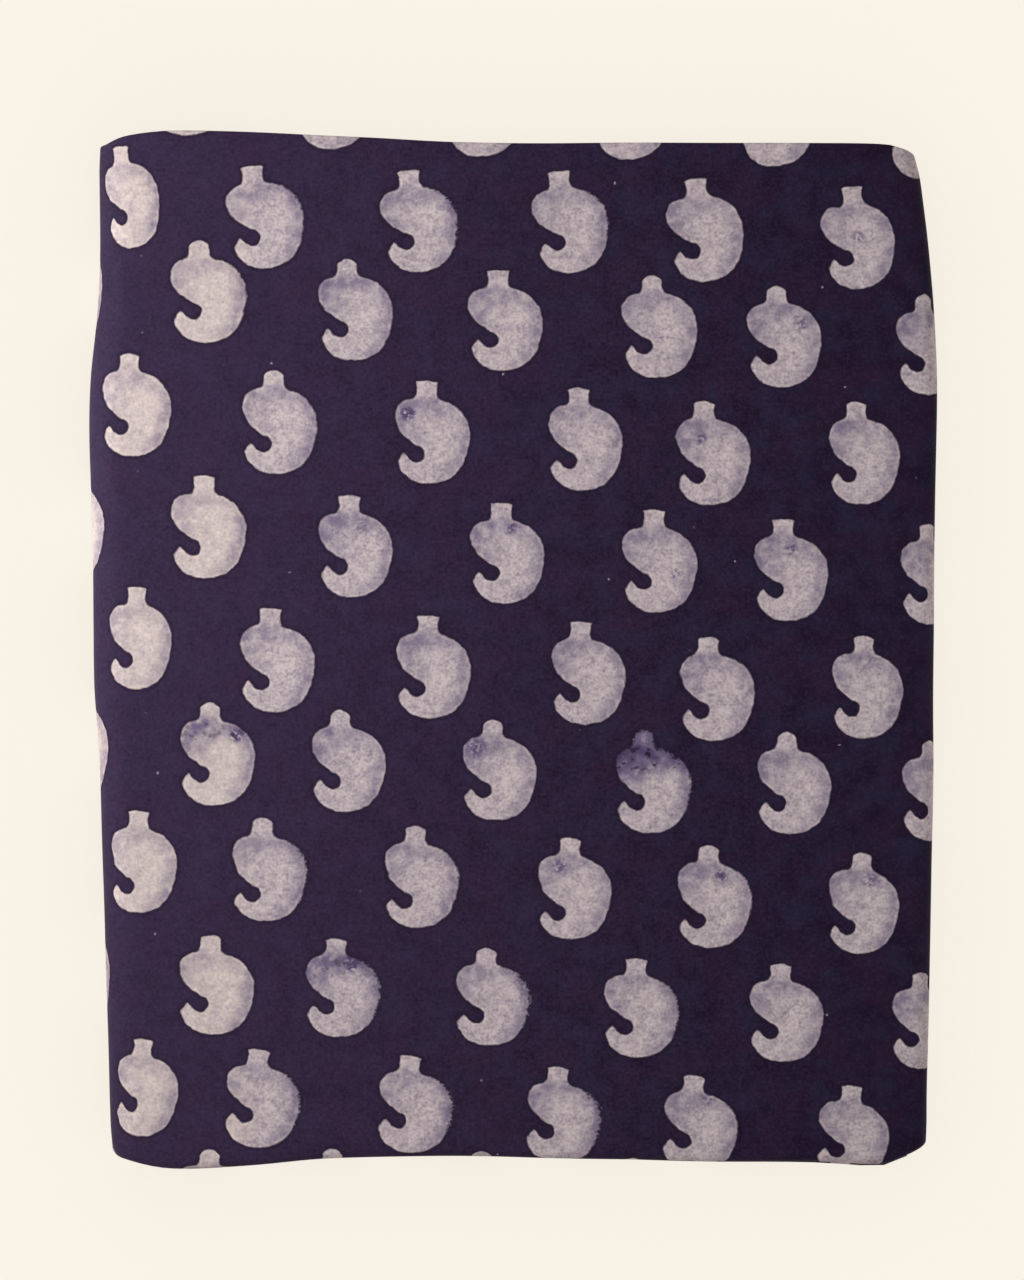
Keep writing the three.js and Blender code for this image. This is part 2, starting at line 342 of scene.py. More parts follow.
# Motifs on the top of the bundle, one row for each row of the print from the back to the
# front. lean is how far the row's motifs lean to the left, in degrees, drop is how much
# lower the hole under their heads is, at fold is how narrow its first motif came out, and
# first is that motif's place in the block. Each motif has its centre, how round the cap
# of its stem is, how much dye crept in at its head, how frayed its right side is, and how
# far its stem stands to the right.
SEEN_ROWS = [
    {"row": "upper", "lean": 0.0, "drop": -2.5, "at fold": 1.0, "first": 2, "motifs": [
        (-107.5, 187.9, 1, 0.1, 0, 0), (-59.8, 183.2, 1, 0.1, 0, 0),
        (-9.8, 180.5, 1, 0.1, 0, 0), (39.5, 179.9, 1, 0.1, 0, 0),
        (88.2, 177.5, 1, 0.1, 0, 0), (137.3, 173.3, 1, 0.1, 0, 0),
    ]},
    {"row": "lower", "lean": 6.0, "drop": 0.0, "at fold": 0.76, "first": 2, "motifs": [
        (-127.5, 150.5, 0, 0.0, 0, 0), (-82.5, 143.9, 0, 0.4, 0.4, -0.2),
        (-31.2, 142.5, 0, 0.3, 0.7, 0.6), (19.2, 142.2, 0, 0.2, 0.4, 0.4),
        (64.2, 139.5, 0, 0.3, 0, 1.0), (115.2, 136.9, 0, 0.2, 0, 2.1),
    ]},
    {"row": "upper", "lean": 0.0, "drop": 0.0, "at fold": 1.0, "first": 1, "motifs": [
        (-152.0, 121.5, 1, 0.1, 0, 0), (-101.5, 118.8, 1, 0.1, 0.2, -0.5),
        (-52.5, 112.8, 1, 0.6, 0.1, -0.2), (-2.5, 109.2, 0, 0.4, 0, 0.2),
        (48.9, 107.2, 1, 0.3, 0, 0.1), (90.5, 103.8, 1, 0.5, 0, 0),
        (139.7, 101.1, 1, 0.6, 0, 0),
    ]},
    {"row": "lower", "lean": -2.5, "drop": 0.8, "at fold": 0.95, "first": 2, "motifs": [
        (-125.7, 80.9, 0.3, 0.0, 0, -0.4), (-77.8, 75.2, 0.8, 0.2, 0.2, 0),
        (-26.8, 71.8, 0, 0.4, 0, 0.1), (24.2, 69.5, 0.2, 0.2, 0, -0.3),
        (66.8, 64.8, 0.3, 0.5, 0, -1.0), (117.2, 64.9, 0.4, 0.4, 0, -0.9),
    ]},
    {"row": "upper", "lean": -1.5, "drop": 0.3, "at fold": 0.95, "first": 1, "motifs": [
        (-148.8, 41.8, 0, 0.1, 0, 0), (-101.5, 40.2, 0, 0.1, 0, 0.8),
        (-52.5, 33.8, 0, 0.6, 0, 0.1), (-1.8, 31.5, 0, 0.4, 0, 0.2),
        (48.9, 28.9, 0, 0.5, 0, 0.4), (92.8, 25.9, 0, 0.6, 0, -0.5),
        (141.0, 24.5, 0.4, 0.5, 0, 0),
    ]},
    {"row": "lower", "lean": -3.0, "drop": 0.8, "at fold": 0.86, "first": 2, "motifs": [
        (-124.4, 3.2, 0, 0.0, 0, 0.5), (-78.5, -4.2, 0, 0.4, 0, -0.6),
        (-26.5, -6.5, 0, 0.5, 0, 0), (25.2, -8.5, 0, 0.4, 0.1, -0.8),
        (68.2, -13.8, 0.4, 0.4, 0, -1.2), (118.2, -13.2, 0.3, 0.3, 0, 0.6),
    ]},
    {"row": "upper", "lean": -3.0, "drop": 0.4, "at fold": 0.95, "first": 1, "motifs": [
        (-147.7, -31.4, 1, 0.1, 0, 0), (-98.5, -35.5, 1, 0.75, 0.1, -0.6),
        (-54.8, -37.8, 1, 0.5, 0, -0.9), (-4.5, -40.8, 1, 0.6, 0, -0.4),
        (46.8, -44.8, 1, 1.5, 0.6, -1.1), (93.8, -45.2, 1, 0.5, 0, -0.6),
        (141.4, -47.8, 1, 0.5, 0, 0),
    ]},
    {"row": "lower", "lean": -4.5, "drop": 1.8, "at fold": 0.93, "first": 2, "motifs": [
        (-123.5, -71.5, 0, 0.1, 0, 0), (-81.2, -74.1, 0.6, 0.3, 0.6, -0.8),
        (-30.5, -76.5, 0.5, 0.3, 0.3, -0.4), (20.5, -80.5, 0.2, 0.3, 0, 0),
        (67.2, -83.1, 0.6, 0.5, 0.2, -0.4), (116.9, -85.2, 0.5, 0.4, 0, 0.8),
    ]},
    {"row": "upper", "lean": -3.5, "drop": 0.2, "at fold": 0.95, "first": 1, "motifs": [
        (-148.4, -107.4, 0, 0.1, 0, 0), (-98.8, -112.5, 0.4, 0.0, 0, -0.2),
        (-56.8, -113.5, 0.2, 0.76, 0.9, -0.5), (-6.8, -116.5, 0.7, 0.35, 1.0, -0.3),
        (42.8, -120.2, 0.1, 0.1, 0.5, 0.1), (91.2, -121.8, 0.2, 0.3, 0.1, -0.2),
        (138.0, -124.5, 0.4, 0.4, 0, 0),
    ]},
    {"row": "lower", "lean": -7.0, "drop": -0.4, "at fold": 0.88, "first": 2, "motifs": [
        (-122.4, -146.9, 0, 0.0, 0, -0.5), (-83.5, -150.5, 0.1, 0.2, 0.5, -0.5),
        (-32.5, -152.5, 0.1, 0.2, 0.8, -0.9), (16.9, -156.2, 0.1, 0.3, 1.0, -1.0),
        (62.5, -159.2, 0.2, 0.5, 0.1, -1.3), (113.5, -162.2, 0.1, 0.4, 0, 0.2),
    ]},
    {"row": "upper", "lean": -4.0, "drop": 0.0, "at fold": 1.0, "first": 2, "motifs": [
        (-99.5, -183.5, 1, 0.2, 0, 0), (-58.5, -183.2, 1, 0.6, 0, 0),
        (-8.8, -183.8, 1, 0.2, 0, 0), (41.5, -186.8, 1, 0.2, 0, 0),
        (87.5, -195.0, 1, 0.3, 0, 0), (137.0, -197.0, 1, 0.3, 0, 0),
    ]},
]

# Towards the right and the front the cloth was drawn in a little, and its motifs with it
DRAWN_IN = {"x": [100, 116], "width": [1.0, 0.95], "y": [-155, -60], "height": [0.94, 1.0]}

# Dark stains where dye came through the paste, no more than one on a motif: place on
# the flat cloth, radius, and how dark, from 0 for bare cotton to 2 for soaked
STAINS = [
    (-35.5, 78.5, 1.4, 2.6), (96.0, 108.2, 2.2, 0.9), (62.4, 70.0, 1.0, 2.0),
    (-50.3, 40.2, 2.4, 0.6), (-0.5, 40.1, 1.2, 1.5), (92.8, 32.8, 1.0, 1.6),
    (53.7, 24.8, 1.0, 1.2), (-92.2, -28.7, 1.4, 2.4), (-12.4, -33.2, 2.6, 1.1),
    (69.3, -76.3, 1.0, 2.0), (119.1, -77.6, 2.4, 0.7), (15.5, -73.1, 2.2, 0.9),
    (64.6, -150.5, 2.0, 0.6), (115.3, 137.1, 1.2, 1.2), (-53.5, -104.5, 2.2, 2.4),
]
NO_STAIN = (0.0, 0.0, 0.0, 0.0)

# The rest of the print carries on from the same block, set down by eye: the steps from
# motif to motif and from row to row, the steps from impression to impression, and by how
# much impressions differ. A motif that would lie within the clearance of one on the top,
# or of a place at the outer folds where the ground shows bare of print, is left out.
BLOCK_STEP = (50.5, -2.4)
ROW_STEP = (-24.7, -37.2)
IMPRESSION_ACROSS = (147, -9)
IMPRESSION_ALONG = (0.3, -73)
FIRST_IMPRESSION = (-1.7, 109.8)
IMPRESSIONS_ACROSS = range(-7, 8)
IMPRESSIONS_ALONG = range(-20, 21)
IMPRESSION_JITTER = {"place": 1.6, "lean": 4.0, "creep": 0.7, "fray": (-1, 0.8), "stem": 0.5}
CLEARANCE = 26
KEPT_CLEAR = [(414.9, 190.5)]

# How many of the nearest motifs are compared to find a place's own
NEIGHBOURS = 4

# Painted shade of fine creases pressed into the cloth: two ends on the flat cloth, and how dark
# they are
CREASE_SHADE_LINES = [
    {"ends": [(120.2, -2.5), (116.2, -7.0)], "dark": 0.55},
    {"ends": [(45.8, 103.6), (57.5, 103.4)], "dark": 0.4},
    {"ends": [(87.0, -124.5), (95.5, -117.0)], "dark": 0.3},
    {"ends": [(84.5, -119.5), (90.0, -126.0)], "dark": 0.25},
    {"ends": [(-30.5, 71.5), (-24.0, 72.8)], "dark": 0.3},
    {"ends": [(18.5, -75.5), (24.5, -80.0)], "dark": 0.25},
]
CREASE_SHADE = {"width": 0.45, "sway": 1.6, "sway length": 3.5, "fading": (0.3, 0.55)}

# The drawn motif, a mango with a stem, in its own millimetres across and up from its
# middle, s and t: the discs that make its body, each with its place and radius, the
# round hole under its head, the wedge that opens the hole to the left, and the tip of
# the tail, where its inner and its outer side meet
BODY_DISCS = [
    (0.5, -0.6, 11.6), (0.2, -5.6, 10.9), (-2.8, -7.9, 8.6), (-7.5, 5.8, 5.1), (-8.7, 3.3, 2.8),
]
BODY_BLEND = 2.5
HOLE = (-5.2, -6.4, 2.8)
WEDGE = {"s": -6.9, "t": -2.4, "facing": (0.58, 0.81), "floor": -8.3, "rounding": 2.6}
TAIL_TIP = {"s": -9.4, "t": -6.1, "inner": (0.75, 0.66), "outer": (-0.8, 0.6), "rounding": 1.5}
HOLE_ROUNDING = 0.8

# The stem: its middle line, its levels from the bottom to the top, its half width at the
# waist and how it flares above it, how its cap curves, and how its foot runs into the
# body. The discs cover it, where a place's own motif is looked for.
STEM = {
    "s": -2.8, "bottom": 6.0, "waist": 14.0, "waist edge": (-0.5, 0.5), "top": 17.2,
    "half width": 3.15, "flare": 0.06, "cap curve": 0.03, "round cap curve": 0.14,
    "cap rounding": 0.8, "foot": 3.0,
}
STEM_DISCS = [(-2.8, 12.0, 3.0), (-2.8, 14.5, 3.0)]

# Parts of the motif where the print differs, as slopes over it: how much each follows
# the way across and the way up, and where it starts and ends. Those that only follow the
# way up have just their start and end.
SLOPES = {
    "right side": (0.9, 0.45, 3.0, 10.0),
    "right edge": (0.92, -0.2, 2.0, 10.0),
    "head": (-0.5, 0.7, -4.0, 10.0),
    "top of head": (-0.05, 0.9, 0.0, 11.0),
    "start of spots": (-0.1, 0.95, 2.0, 6.0),
    "end of spots": (-0.1, 0.95, 10.0, 14.0),
}
HEAD_START = (3.0, 9.0)
HEAD_END = (9.5, 14.0)
RIGHT_SIDE_END = (8.0, 12.0)

# What the mesh stores of how its own motif came out
LOOK = ("cap", "creep", "fray", "stem")


def motif(x, y, row, place, lean, drop, cap, creep, fray, stem):
    """One printed motif: where it is and how it came out."""
    width, height = CARVED[row][place % 3]
    return dict(
        x=x, y=y, width=width, height=height, lean=math.radians(lean), drop=drop,
        cap=cap, creep=creep, fray=fray, stem=stem, stain=NO_STAIN,
    )


def seen_motifs():
    """The motifs that lie on the top of the bundle."""
    motifs = []
    for row in SEEN_ROWS:
        for n, (x, y, *look) in enumerate(row["motifs"]):
            place = row["first"] + n
            printed = motif(x, y, row["row"], place, row["lean"], row["drop"], *look)
            printed["width"] *= np.interp(x, DRAWN_IN["x"], DRAWN_IN["width"])
            printed["height"] *= np.interp(y, DRAWN_IN["y"], DRAWN_IN["height"])
            if n == 0:
                printed["width"] *= row["at fold"]
            motifs.append(printed)
    for stain in STAINS:
        stained = min(motifs, key=lambda m: math.hypot(m["x"] - stain[0], m["y"] - stain[1]))
        stained["stain"] = stain
    return motifs


def unseen_motifs(seen):
    """The block set down over all the rest of the cloth, clear of the motifs that are there."""
    chance = random.Random(SEED + 2)
    taken = [(m["x"], m["y"]) for m in seen] + KEPT_CLEAR
    motifs = []
    for column in IMPRESSIONS_ACROSS:
        for row in IMPRESSIONS_ALONG:
            shift = [chance.uniform(-1, 1) * IMPRESSION_JITTER["place"] for _ in range(2)]
            lean = chance.uniform(-1, 1) * IMPRESSION_JITTER["lean"]
            x0, y0 = (
                first + column * across + row * along
                for first, across, along in zip(
                    FIRST_IMPRESSION, IMPRESSION_ACROSS, IMPRESSION_ALONG
                )
            )
            for line, name in enumerate(("upper", "lower")):
                for place in range(3):
                    cap = chance.random()
                    creep = chance.uniform(0, IMPRESSION_JITTER["creep"])
                    fray = max(0, chance.uniform(*IMPRESSION_JITTER["fray"]))
                    stem = chance.uniform(-1, 1) * IMPRESSION_JITTER["stem"]
                    x = x0 + shift[0] + (place - 1) * BLOCK_STEP[0] + line * ROW_STEP[0]
                    y = y0 + shift[1] + (place - 1) * BLOCK_STEP[1] + line * ROW_STEP[1]
                    if all(math.hypot(x - a, y - b) > CLEARANCE for a, b in taken):
                        look = (cap, creep, fray, stem)
                        motifs.append(motif(x, y, name, place, lean, 0, *look))
    return motifs


def nearest_motifs(across, along, motifs):
    """The number of the motif whose outline comes nearest to each place."""
    tree = KDTree(len(motifs))
    for n, m in enumerate(motifs):
        tree.insert((m["x"], m["y"], 0), n)
    tree.balance()
    found = [
        [n for _, n, _ in tree.find_n((x, y, 0), NEIGHBOURS)] for x, y in zip(across, along)
    ]
    candidates = np.array(found).T
    distance = []
    for number in candidates:
        own_s, own_t, _ = own_coordinates(across, along, number, motifs)
        discs = [np.hypot(own_s - s, own_t - t) - r for s, t, r in (*BODY_DISCS, *STEM_DISCS)]
        distance.append(np.min(discs, axis=0))
    best = np.argmin(distance, axis=0)
    return candidates[best, np.arange(len(across))]


def own_coordinates(across, along, number, motifs):
    """Places on the flat cloth, as seen from the motif with this number."""
    table = {key: np.array([m[key] for m in motifs])[number] for key in motifs[0]}
    right = across - table["x"]
    up = along - table["y"]
    c, s = np.cos(table["lean"]), np.sin(table["lean"])
    own_s = (right * c + up * s) / table["width"]
    own_t = (up * c - right * s) / table["height"]
    return own_s, own_t, table


def cloth_mesh():
    """The folded cloth as one closed sheet, with the places of its print."""
    front, _ = cloth_points(1)
    back, _ = cloth_points(-1)
    across, along = print_places()
    rows, columns = across.shape
    each_face = rows * columns
    points = np.concatenate([face.reshape(3, -1).T for face in (front, back)])
    points[:, 2] = np.maximum(points[:, 2] - SINK_TO_FLOOR, 0)

    number = np.arange(each_face).reshape(rows, columns)
    a, b, c, d = number[:-1, :-1], number[1:, :-1], number[1:, 1:], number[:-1, 1:]
    flat = [q.ravel() for q in (a, b, c, d)]
    printed = np.stack(flat, axis=1)
    reverse = np.stack([flat[0], flat[3], flat[2], flat[1]], axis=1) + each_face

    def edge(line, towards):
        one, two = line[:-1], line[1:]
        if towards:
            one, two = two, one
        return np.stack([one, two, two + each_face, one + each_face], axis=1)

    edges = np.concatenate([
        edge(number[:, 0], True), edge(number[:, -1], False),
        edge(number[0, :], False), edge(number[-1, :], True),
    ])
    quads = np.concatenate([printed, reverse, edges])

    mesh = bpy.data.meshes.new("folded_print")
    mesh.from_pydata((points * MM).tolist(), [], quads.tolist())
    mesh.update()
    smooth = np.ones(len(quads), bool)
    smooth[-len(edges):] = False
    mesh.polygons.foreach_set("use_smooth", smooth)

    places = [np.concatenate([grid.ravel()] * 2) for grid in (across, along)]
    add_print(mesh, quads, places, each_face)
    return mesh


def add_print(mesh, quads, places, each_face):
    """Stores on each corner where it lies on the flat cloth and in its nearest motif."""
    seen = seen_motifs()
    motifs = seen + unseen_motifs(seen)
    corner_across, corner_along = (place[quads] for place in places)
    nearest = nearest_motifs(corner_across.mean(axis=1), corner_along.mean(axis=1), motifs)
    number = np.repeat(nearest[:, None], 4, axis=1)
    own_s, own_t, table = own_coordinates(corner_across, corner_along, number, motifs)
    for name, pair in (("flat", (corner_across, corner_along)), ("motif", (own_s, own_t))):
        layer = mesh.uv_layers.new(name=name)
        layer.data.foreach_set("uv", np.stack(pair, axis=-1).astype(np.float32).ravel())
    look = mesh.attributes.new("look", "FLOAT_COLOR", "CORNER")
    kept = np.stack([table[key] for key in LOOK], axis=-1)
    look.data.foreach_set("color", kept.astype(np.float32).ravel())
    stain = mesh.attributes.new("stain", "FLOAT_COLOR", "CORNER")
    stain.data.foreach_set("color", table["stain"].astype(np.float32).ravel())
    drop = mesh.attributes.new("drop", "FLOAT", "CORNER")
    drop.data.foreach_set("value", table["drop"].astype(np.float32).ravel())
    face = mesh.attributes.new("printed_face", "FLOAT", "POINT")
    face.data.foreach_set("value", np.repeat([1.0, 0.0], each_face).astype(np.float32))


class Field:
    """A value that varies over a surface: a node's output, with the usual arithmetic."""

    def __init__(self, tree, socket):
        self.tree = tree
        self.socket = socket

    def through(self, operation, *others):
        """This value and the others, put through one Math node."""
        node = self.tree.nodes.new("ShaderNodeMath")
        node.operation = operation
        for place, value in enumerate((self, *others)):
            plug(value, node.inputs[place])
        return Field(self.tree, node.outputs[0])

    def __add__(self, other):
        return self.through("ADD", other)

    def __sub__(self, other):
        return self.through("SUBTRACT", other)

    def __mul__(self, other):
        return self.through("MULTIPLY", other)

    def __truediv__(self, other):
        return self.through("DIVIDE", other)

    __radd__ = __add__
    __rmul__ = __mul__

    def __rsub__(self, other):
        return self * -1 + other

    def lower_of(self, other, rounding=0.0):
        """The lower of two values, rounded off where they cross."""
        if rounding:
            return self.through("SMOOTH_MIN", other, rounding)
        return self.through("MINIMUM", other)

    def higher_of(self, other, rounding=0.0):
        """The higher of two values, rounded off where they cross."""
        if rounding:
            return self.through("SMOOTH_MAX", other, rounding)
        return self.through("MAXIMUM", other)

    def size(self):
        """The value without its sign."""
        return self.through("ABSOLUTE")

    def wave(self):
        """The value's sine."""
        return self.through("SINE")

    def rise(self, start, end):
        """0 before start and 1 after end, smooth in between."""
        node = self.tree.nodes.new("ShaderNodeMapRange")
        node.interpolation_type = "SMOOTHSTEP"
        for name, value in (("Value", self), ("From Min", start), ("From Max", end)):
            plug(value, node.inputs[name])
        return Field(self.tree, node.outputs[0])

    def fall(self, start, end):
        """1 before start and 0 after end, smooth in between."""
        return 1 - self.rise(start, end)


def plug(value, socket):
    """Joins a field to a node's input, or sets the input to a number or colour."""
    if isinstance(value, Field):
        value.tree.links.new(value.socket, socket)
    else:
        socket.default_value = value


def pair_from(tree, name):
    """The two coordinates of a UV map, as fields."""
    source = tree.nodes.new("ShaderNodeUVMap")
    source.uv_map = name
    split = tree.nodes.new("ShaderNodeSeparateXYZ")
    tree.links.new(source.outputs[0], split.inputs[0])
    return Field(tree, split.outputs[0]), Field(tree, split.outputs[1])


def attribute(tree, name):
    """The node that reads what the mesh stores under this name."""
    node = tree.nodes.new("ShaderNodeAttribute")
    node.attribute_name = name
    return node


def one_value(tree, name):
    """The single value that the mesh stores under this name, as a field."""
    return Field(tree, attribute(tree, name).outputs["Fac"])


def four_values(tree, name):
    """The four values that the mesh stores under this name, as fields."""
    kept = attribute(tree, name)
    split = tree.nodes.new("ShaderNodeSeparateColor")
    tree.links.new(kept.outputs["Color"], split.inputs[0])
    return [Field(tree, socket) for socket in (*split.outputs, kept.outputs["Alpha"])]


def texture_place(at, across, along, depth=0.0):
    """A texture's coordinates, whose unit is this many mm across and along."""
    p, q = at
    join = p.tree.nodes.new("ShaderNodeCombineXYZ")
    plug(p / across, join.inputs[0])
    plug(q / along, join.inputs[1])
    join.inputs[2].default_value = depth
    return join.outputs[0]


def noise(at, across, along=None, seed=0.0, detail=2.0):
    """Cloudy noise from 0 to 1, whose patches are about this many mm across and along."""
    tree = at[0].tree
    node = tree.nodes.new("ShaderNodeTexNoise")
    node.inputs["Scale"].default_value = 1.0
    node.inputs["Detail"].default_value = detail
    tree.links.new(texture_place(at, across, along or across, seed), node.inputs["Vector"])
    return Field(tree, node.outputs[0])


def patchy(at, patches):
    """Separate patches of noise: 1 in them and 0 between them, with soft edges."""
    cloud = noise(at, patches["size"], seed=patches["seed"], detail=patches["detail"])
    return cloud.rise(*patches["edge"])


def disc(s, t, across, up, radius):
    """Distance from a disc's edge, negative inside it."""
    right = s - across
    rise = t - up
    return (right * right + rise * rise).through("SQRT") - radius


def motif_distance(s, t, look):
    """Distance from the edge of the drawn motif, negative inside."""
    body = disc(s, t, *BODY_DISCS[0])
    for one in BODY_DISCS[1:]:
        body = body.lower_of(disc(s, t, *one), BODY_BLEND)

    # The wedge is cut out of the body up to the tip of the tail, and then the hole
    facing = WEDGE["facing"]
    lower = t + look["drop"]
    under_head = (s - WEDGE["s"]) * facing[0] + (lower - WEDGE["t"]) * facing[1]
    wedge = under_head.higher_of(s - HOLE[0]).higher_of(WEDGE["floor"] - lower)
    from_tip = (s - TAIL_TIP["s"], lower - TAIL_TIP["t"])
    inner, outer = (
        from_tip[0] * TAIL_TIP[side][0] + from_tip[1] * TAIL_TIP[side][1]
        for side in ("inner", "outer")
    )
    wedge = wedge.higher_of(inner.higher_of(outer, TAIL_TIP["rounding"]) * -1)
    body = body.higher_of(wedge * -1, WEDGE["rounding"])
    body = body.higher_of(disc(s, lower, *HOLE) * -1, HOLE_ROUNDING)

    # The stem flares at its cap, unless the cap is round
    from_stem = s - look["stem"] - STEM["s"]
    from_waist = t - STEM["waist"]
    rounded = look["cap"] * from_waist.rise(*STEM["waist edge"])
    flare = from_waist * from_waist * STEM["flare"] * (1 - rounded)
    curve = look["cap"] * STEM["round cap curve"] + STEM["cap curve"]
    top = STEM["top"] - from_stem * from_stem * curve
    shaft = from_stem.size() - STEM["half width"] - flare
    shaft = shaft.higher_of(t - top, STEM["cap rounding"])
    return body.lower_of(shaft.higher_of(STEM["bottom"] - t), STEM["foot"])


def slope_over(s, t, slope):
    """A slope from 0 to 1 over the motif."""
    across, up, start, end = SLOPES[slope]
    return (s * across + t * up).rise(start, end)


def shader_colour(rgb):
    """A screen colour, 0 to 255, as the linear colour that a node takes."""
    linear = [((v / 255 + 0.055) / 1.055) ** 2.4 for v in rgb]
    return (*linear, 1.0)


def blend_colours(share, low, high):
    """A colour between two, by a field from 0 to 1."""
    node = share.tree.nodes.new("ShaderNodeMix")
    node.data_type = "RGBA"
    plug(share, node.inputs["Factor"])
    colours = [socket for socket in node.inputs if socket.type == "RGBA"]
    plug(low, colours[0])
    plug(high, colours[1])
    out = next(socket for socket in node.outputs if socket.type == "RGBA")
    return Field(share.tree, out)


# Colours of the dyed ground; of the bare cotton where the dye bath was weak and where it
# was strong, and of its darker threads; of cotton that dye crept into, and that it soaked
GROUND_DARK = (24, 13, 34)
GROUND_LIGHT = (32, 27, 49)
GROUND_WINE = (38, 18, 42)
# The lighter ground colour serves the grain and weave, and a painted sheen that lightens the
# ground towards the left lamp
GROUND_GRAIN_AND_SHEEN = (64, 49, 76)
BARE_CREAM = (209, 194, 187)
BARE_GREY = (191, 177, 178)
BARE_SHADE = (120, 107, 122)
BARE_CREPT = (106, 93, 119)
BARE_SOAKED = (76, 62, 92)
LINT = (150, 140, 156)

# The yarn: its pitch, how far threads sway, and slubs, where a thread is thick. Each
# noise is narrow across a thread and long along it.
THREAD_PITCH = 0.52
THREAD_HEIGHT = 0.5
SWAY = {"narrow": 1.6, "long": 14.0, "turn": 3.0}
SLUBS = {"narrow": 0.9, "long": 9.0, "height": 1.4}


def weave_height(at):
    """Plain weave of hand-spun cotton: threads that pass over and under, none quite even."""
    p, q = at
    sway_p = noise(at, SWAY["narrow"], SWAY["long"], seed=11.0, detail=1.0) - 0.5
    sway_q = noise(at, SWAY["long"], SWAY["narrow"], seed=12.0, detail=1.0) - 0.5
    turn = math.pi / THREAD_PITCH
    warp = (p * turn + sway_p * SWAY["turn"]).wave()
    weft = (q * turn + sway_q * SWAY["turn"]).wave()
    warp_slubs = noise(at, SLUBS["narrow"], SLUBS["long"], seed=13.0, detail=1.0)
    weft_slubs = noise(at, SLUBS["long"], SLUBS["narrow"], seed=14.0, detail=1.0)
    return warp * weft * THREAD_HEIGHT + (warp_slubs + weft_slubs - 1.0) * SLUBS["height"]


# How the paste printed: how far its edge shakes, and how deep it cracked where it did.
# A head into which more dye crept than a full measure cracked as well.
SHAKE = {"size": 2.8, "depth": 0.95}
CRACKS = {"size": 1.1, "depth": 4.5, "loss": 0.1}
MESSY_HEAD = {"above": 1.0, "cracks": 1.2}


def printed_outline(at, s, t, look):
    """Distance from the motif's edge as it printed, and how far the paste cracked there."""
    shake_s, shake_t = (
        (noise(at, SHAKE["size"], seed=seed, detail=1.0) - 0.5) * SHAKE["depth"]
        for seed in (4.0, 5.0)
    )
    distance = motif_distance(s + shake_s, t + shake_t, look)
    right_side = slope_over(s, t, "right side") * t.fall(*RIGHT_SIDE_END)
    messy = (look["creep"] - MESSY_HEAD["above"]).higher_of(0.0)
    messy_head = messy * t.rise(*HEAD_START) * MESSY_HEAD["cracks"]
    cracked = (look["fray"] * right_side).higher_of(messy_head)
    cracks = noise(at, CRACKS["size"], seed=6.0, detail=2.0) - 0.5
    return distance + cracked * (cracks * CRACKS["depth"] + CRACKS["loss"]), cracked


# Dye that crept in, at each part of the motif: how much where the cotton took it up in
# patches, and how much everywhere
CREPT = {"edge": (0.7, 0.7), "head": (0.4, 0.3), "top of head": (0.9, 0.5)}
CREPT_PATCHES = (0.32, 0.68)

# The paste is thin towards its edge: there, how much dye it let in at the head, at the
# right and all round. Only a good deal of creep gets to the top of the head. At the very
# edge a crack lets in more, and the cotton stays cleaner.
THIN_EDGE = (-8.0, -0.6)
THIN_PASTE = {"head": 0.3, "right": 0.42, "all round": 0.12}
MUCH_CREEP = 0.6
CRACKED_EDGE = {"edge": (-3.5, 0.0), "dye": 0.4}
CLEAN_RIM = {"edge": (-1.0, -0.4), "dye": 0.15}


def crept_dye(s, t, distance, cracked, creep, blotch):
    """How much dye got through the paste, from 0 for bare cotton to 2 for soaked."""
    patches = blotch.rise(*CREPT_PATCHES)
    uneven = {part: patches * more + least for part, (more, least) in CREPT.items()}
    at_head = slope_over(s, t, "head") * t.fall(*HEAD_END)
    head_top = slope_over(s, t, "top of head")
    thin_paste = at_head * THIN_PASTE["head"]
    thin_paste = thin_paste + slope_over(s, t, "right edge") * THIN_PASTE["right"]
    thin_paste = thin_paste + THIN_PASTE["all round"]
    crept = distance.rise(*THIN_EDGE) * thin_paste * uneven["edge"]
    crept = crept + creep * at_head * uneven["head"]
    crept = crept + (creep - MUCH_CREEP).higher_of(0.0) * head_top * uneven["top of head"]
    crept = crept + cracked * distance.rise(*CRACKED_EDGE["edge"]) * CRACKED_EDGE["dye"]
    return crept - distance.rise(*CLEAN_RIM["edge"]) * CLEAN_RIM["dye"]


# Spots at a messy head, where more dye crept in than this: how fast they get darker with
# it, and how much of the bare cotton they take away
SPOTS = {"size": 2.3, "seed": 7.0, "detail": 2.0, "edge": (0.56, 0.63)}
BROKEN_PASTE = {"above": 0.55, "growth": 2.5, "share": 0.85}


def broken_paste(at, s, t, creep):
    """Spots where the dye went right through at a messy head."""
    band = slope_over(s, t, "start of spots") * (1 - slope_over(s, t, "end of spots"))
    growth = (creep - BROKEN_PASTE["above"]) * BROKEN_PASTE["growth"]
    return patchy(at, SPOTS) * band * growth.higher_of(0.0).lower_of(1.0)


STAIN_EDGE = (-1.8, 2.2)
STAIN_UNEVENNESS = 5.0
SPECKS = {"size": 1.5, "seed": 15.0, "detail": 1.0, "edge": (0.36, 0.62)}


def stained(at, blotch):
    """How much dye came through at the motif's stain."""
    across, along, radius, strength = four_values(blotch.tree, "stain")
    away = disc(*at, across, along, radius) + (blotch - 0.5) * STAIN_UNEVENNESS
    return away.fall(*STAIN_EDGE) * patchy(at, SPECKS) * strength


